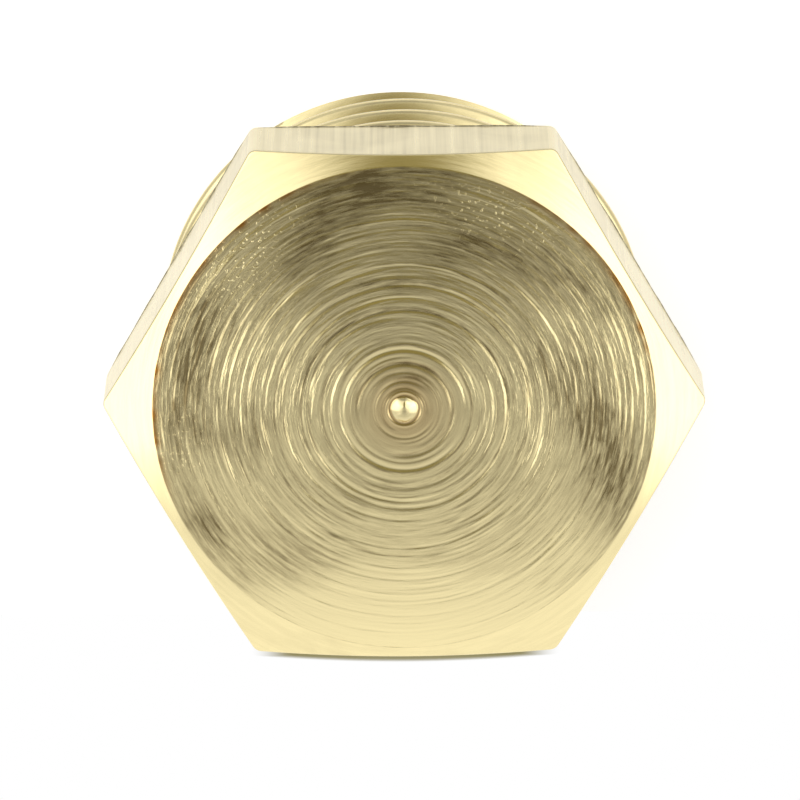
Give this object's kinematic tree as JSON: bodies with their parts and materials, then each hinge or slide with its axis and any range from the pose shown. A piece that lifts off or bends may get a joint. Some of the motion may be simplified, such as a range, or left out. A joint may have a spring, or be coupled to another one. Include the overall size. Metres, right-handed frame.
{
  "type": "brass threaded plug",
  "caption": "Solid brass pipe plug: a chamfered hexagon head with a turned face over a short right-hand parallel pipe thread with a relief groove and a lead-in chamfer.",
  "frame": {"origin": "centre of the flat end of the thread, on which the plug stands", "axes": "+Z along the thread's axis towards the head; two flats of the hexagon face -Y and +Y, two corners point along -X and +X"},
  "size_m": [0.0252, 0.022, 0.014],
  "materials": {
    "brass": "turned and drawn, bare"
  },
  "bodies": {
    "root": {"plug": "brass"}
  },
  "joints": []
}
